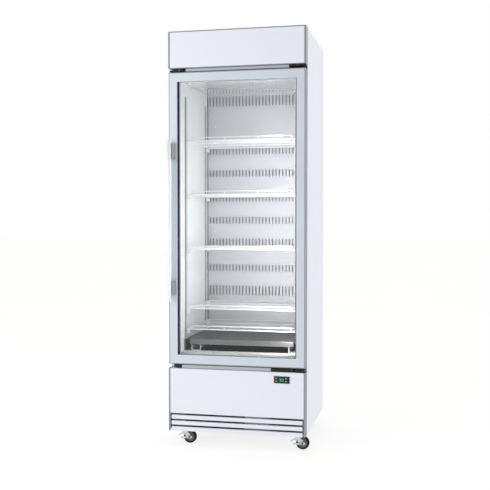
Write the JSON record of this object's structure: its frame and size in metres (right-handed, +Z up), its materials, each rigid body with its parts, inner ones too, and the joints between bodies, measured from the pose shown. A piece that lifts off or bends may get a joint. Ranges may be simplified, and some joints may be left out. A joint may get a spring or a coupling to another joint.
{
  "type": "reach in refrigerator",
  "caption": "Upright refrigerator with one glazed swing door, a blank sign box over it, wire shelves inside and a louvred machine space on castors.",
  "frame": {"origin": "on the floor, under the middle of the cabinet's overall box", "axes": "+Z up, -Y out of the door, +X towards the hinge side (right, seen from the front)"},
  "size_m": [0.75, 0.7495, 2.2],
  "materials": {
    "white_steel": "satin",
    "liner_white": "gloss",
    "sign_white": "satin",
    "silver_frame": "satin",
    "grey_trim": "satin",
    "bright_aluminium": "satin",
    "black_plastic": "satin",
    "seal_rubber": "matte",
    "clear_glass": "polished",
    "wire_white": "gloss",
    "dark_stainless": "satin",
    "zinc_steel": "satin",
    "coil_aluminium": "satin",
    "compressor_black": "satin",
    "castor_tyre": "matte",
    "display_green": "gloss"
  },
  "bodies": {
    "cabinet": {"wall_left": "white_steel", "wall_right": "white_steel", "rear_wall": "white_steel", "roof": "white_steel", "floor": "liner_white", "sign_box": "grey_trim", "sign_panel": "sign_white", "top_hinge": "black_plastic", "bottom_hinge": "black_plastic", "door_closer": "black_plastic", "door_switch": "black_plastic", "lock_housing": "black_plastic", "duct_panel": "liner_white", "lamp_strip": "grey_trim", "floor_tray": "dark_stainless", "tray_runner_left": "zinc_steel", "tray_runner_right": "zinc_steel", "evaporator_coil": "coil_aluminium", "base_chassis": "zinc_steel", "lower_panel": "white_steel", "controller": "black_plastic", "compressor": "compressor_black", "condenser_coil": "coil_aluminium", "condenser_motor": "compressor_black", "rear_grille": "zinc_steel", "power_inlet": "black_plastic", "shelf_1": "wire_white", "shelf_2": "wire_white", "shelf_3": "wire_white", "shelf_4": "wire_white", "shelf_5": "wire_white", "pilaster_front_left": "liner_white", "pilaster_front_right": "liner_white", "pilaster_rear_left": "liner_white", "pilaster_rear_right": "liner_white"},
    "door": {"door_frame": "silver_frame", "glass_outer": "clear_glass", "glass_inner": "clear_glass", "glass_spacer": "black_plastic", "door_gasket": "seal_rubber", "handle_tube": "bright_aluminium", "handle_bracket_upper": "grey_trim", "handle_bracket_lower": "grey_trim"},
    "lock": {"lock_barrel": "zinc_steel"},
    "condenser_fan": {"condenser_fan": "black_plastic"},
    "evaporator_blower": {"evaporator_blower": "black_plastic"},
    "button_power": {"button_power": "grey_trim"},
    "button_set": {"button_set": "grey_trim"},
    "button_up": {"button_up": "grey_trim"},
    "button_down": {"button_down": "grey_trim"},
    "castor_front_left": {"castor_fork_front_left": "zinc_steel"},
    "wheel_front_left": {"castor_wheel_front_left": "castor_tyre"},
    "pedal_front_left": {"brake_pedal_front_left": "zinc_steel"},
    "castor_front_right": {"castor_fork_front_right": "zinc_steel"},
    "wheel_front_right": {"castor_wheel_front_right": "castor_tyre"},
    "pedal_front_right": {"brake_pedal_front_right": "zinc_steel"},
    "castor_rear_left": {"castor_fork_rear_left": "zinc_steel"},
    "wheel_rear_left": {"castor_wheel_rear_left": "castor_tyre"},
    "castor_rear_right": {"castor_fork_rear_right": "zinc_steel"},
    "wheel_rear_right": {"castor_wheel_rear_right": "castor_tyre"}
  },
  "joints": [
    {"name": "door_hinge", "type": "hinge", "parent": "cabinet", "child": "door", "pos_m": [0.345, -0.3, 1.2], "axis": [0, 0, 1], "range_deg": [0, 105], "stiffness_Nm_per_rad": 1.5, "springref_deg": -17.19},
    {"name": "lock_turn", "type": "hinge", "parent": "cabinet", "child": "lock", "pos_m": [-0.308, -0.31, 1.996], "axis": [0, -1, 0], "range_deg": [0, 90]},
    {"name": "condenser_fan_spin", "type": "hinge", "parent": "cabinet", "child": "condenser_fan", "pos_m": [-0.14, -0.16, 0.232], "axis": [0, 1, 0], "continuous": true},
    {"name": "evaporator_blower_spin", "type": "hinge", "parent": "cabinet", "child": "evaporator_blower", "pos_m": [0.015, 0.225, 0.528], "axis": [1, 0, 0], "continuous": true},
    {"name": "button_power_press", "type": "slide", "parent": "cabinet", "child": "button_power", "axis": [0, 1, 0], "range_m": [0, 0.0008], "stiffness_N_per_m": 600, "springref_m": -0.0004},
    {"name": "button_set_press", "type": "slide", "parent": "cabinet", "child": "button_set", "axis": [0, 1, 0], "range_m": [0, 0.0008], "stiffness_N_per_m": 600, "springref_m": -0.0004},
    {"name": "button_up_press", "type": "slide", "parent": "cabinet", "child": "button_up", "axis": [0, 1, 0], "range_m": [0, 0.0008], "stiffness_N_per_m": 600, "springref_m": -0.0004},
    {"name": "button_down_press", "type": "slide", "parent": "cabinet", "child": "button_down", "axis": [0, 1, 0], "range_m": [0, 0.0008], "stiffness_N_per_m": 600, "springref_m": -0.0004},
    {"name": "castor_front_left_swivel", "type": "hinge", "parent": "cabinet", "child": "castor_front_left", "pos_m": [-0.308, -0.23, 0.06], "axis": [0, 0, 1], "continuous": true},
    {"name": "wheel_front_left_roll", "type": "hinge", "parent": "castor_front_left", "child": "wheel_front_left", "pos_m": [-0.276, -0.23, 0.035], "axis": [0, 1, 0], "continuous": true},
    {"name": "pedal_front_left_press", "type": "hinge", "parent": "castor_front_left", "child": "pedal_front_left", "pos_m": [-0.311, -0.23, 0.054], "axis": [0, -1, 0], "range_deg": [0, 15]},
    {"name": "castor_front_right_swivel", "type": "hinge", "parent": "cabinet", "child": "castor_front_right", "pos_m": [0.308, -0.23, 0.06], "axis": [0, 0, 1], "continuous": true},
    {"name": "wheel_front_right_roll", "type": "hinge", "parent": "castor_front_right", "child": "wheel_front_right", "pos_m": [0.34, -0.23, 0.035], "axis": [0, 1, 0], "continuous": true},
    {"name": "pedal_front_right_press", "type": "hinge", "parent": "castor_front_right", "child": "pedal_front_right", "pos_m": [0.305, -0.23, 0.054], "axis": [0, -1, 0], "range_deg": [0, 15]},
    {"name": "castor_rear_left_swivel", "type": "hinge", "parent": "cabinet", "child": "castor_rear_left", "pos_m": [-0.308, 0.3, 0.06], "axis": [0, 0, 1], "continuous": true},
    {"name": "wheel_rear_left_roll", "type": "hinge", "parent": "castor_rear_left", "child": "wheel_rear_left", "pos_m": [-0.34, 0.3, 0.035], "axis": [0, 1, 0], "continuous": true},
    {"name": "castor_rear_right_swivel", "type": "hinge", "parent": "cabinet", "child": "castor_rear_right", "pos_m": [0.308, 0.3, 0.06], "axis": [0, 0, 1], "continuous": true},
    {"name": "wheel_rear_right_roll", "type": "hinge", "parent": "castor_rear_right", "child": "wheel_rear_right", "pos_m": [0.276, 0.3, 0.035], "axis": [0, 1, 0], "continuous": true}
  ]
}
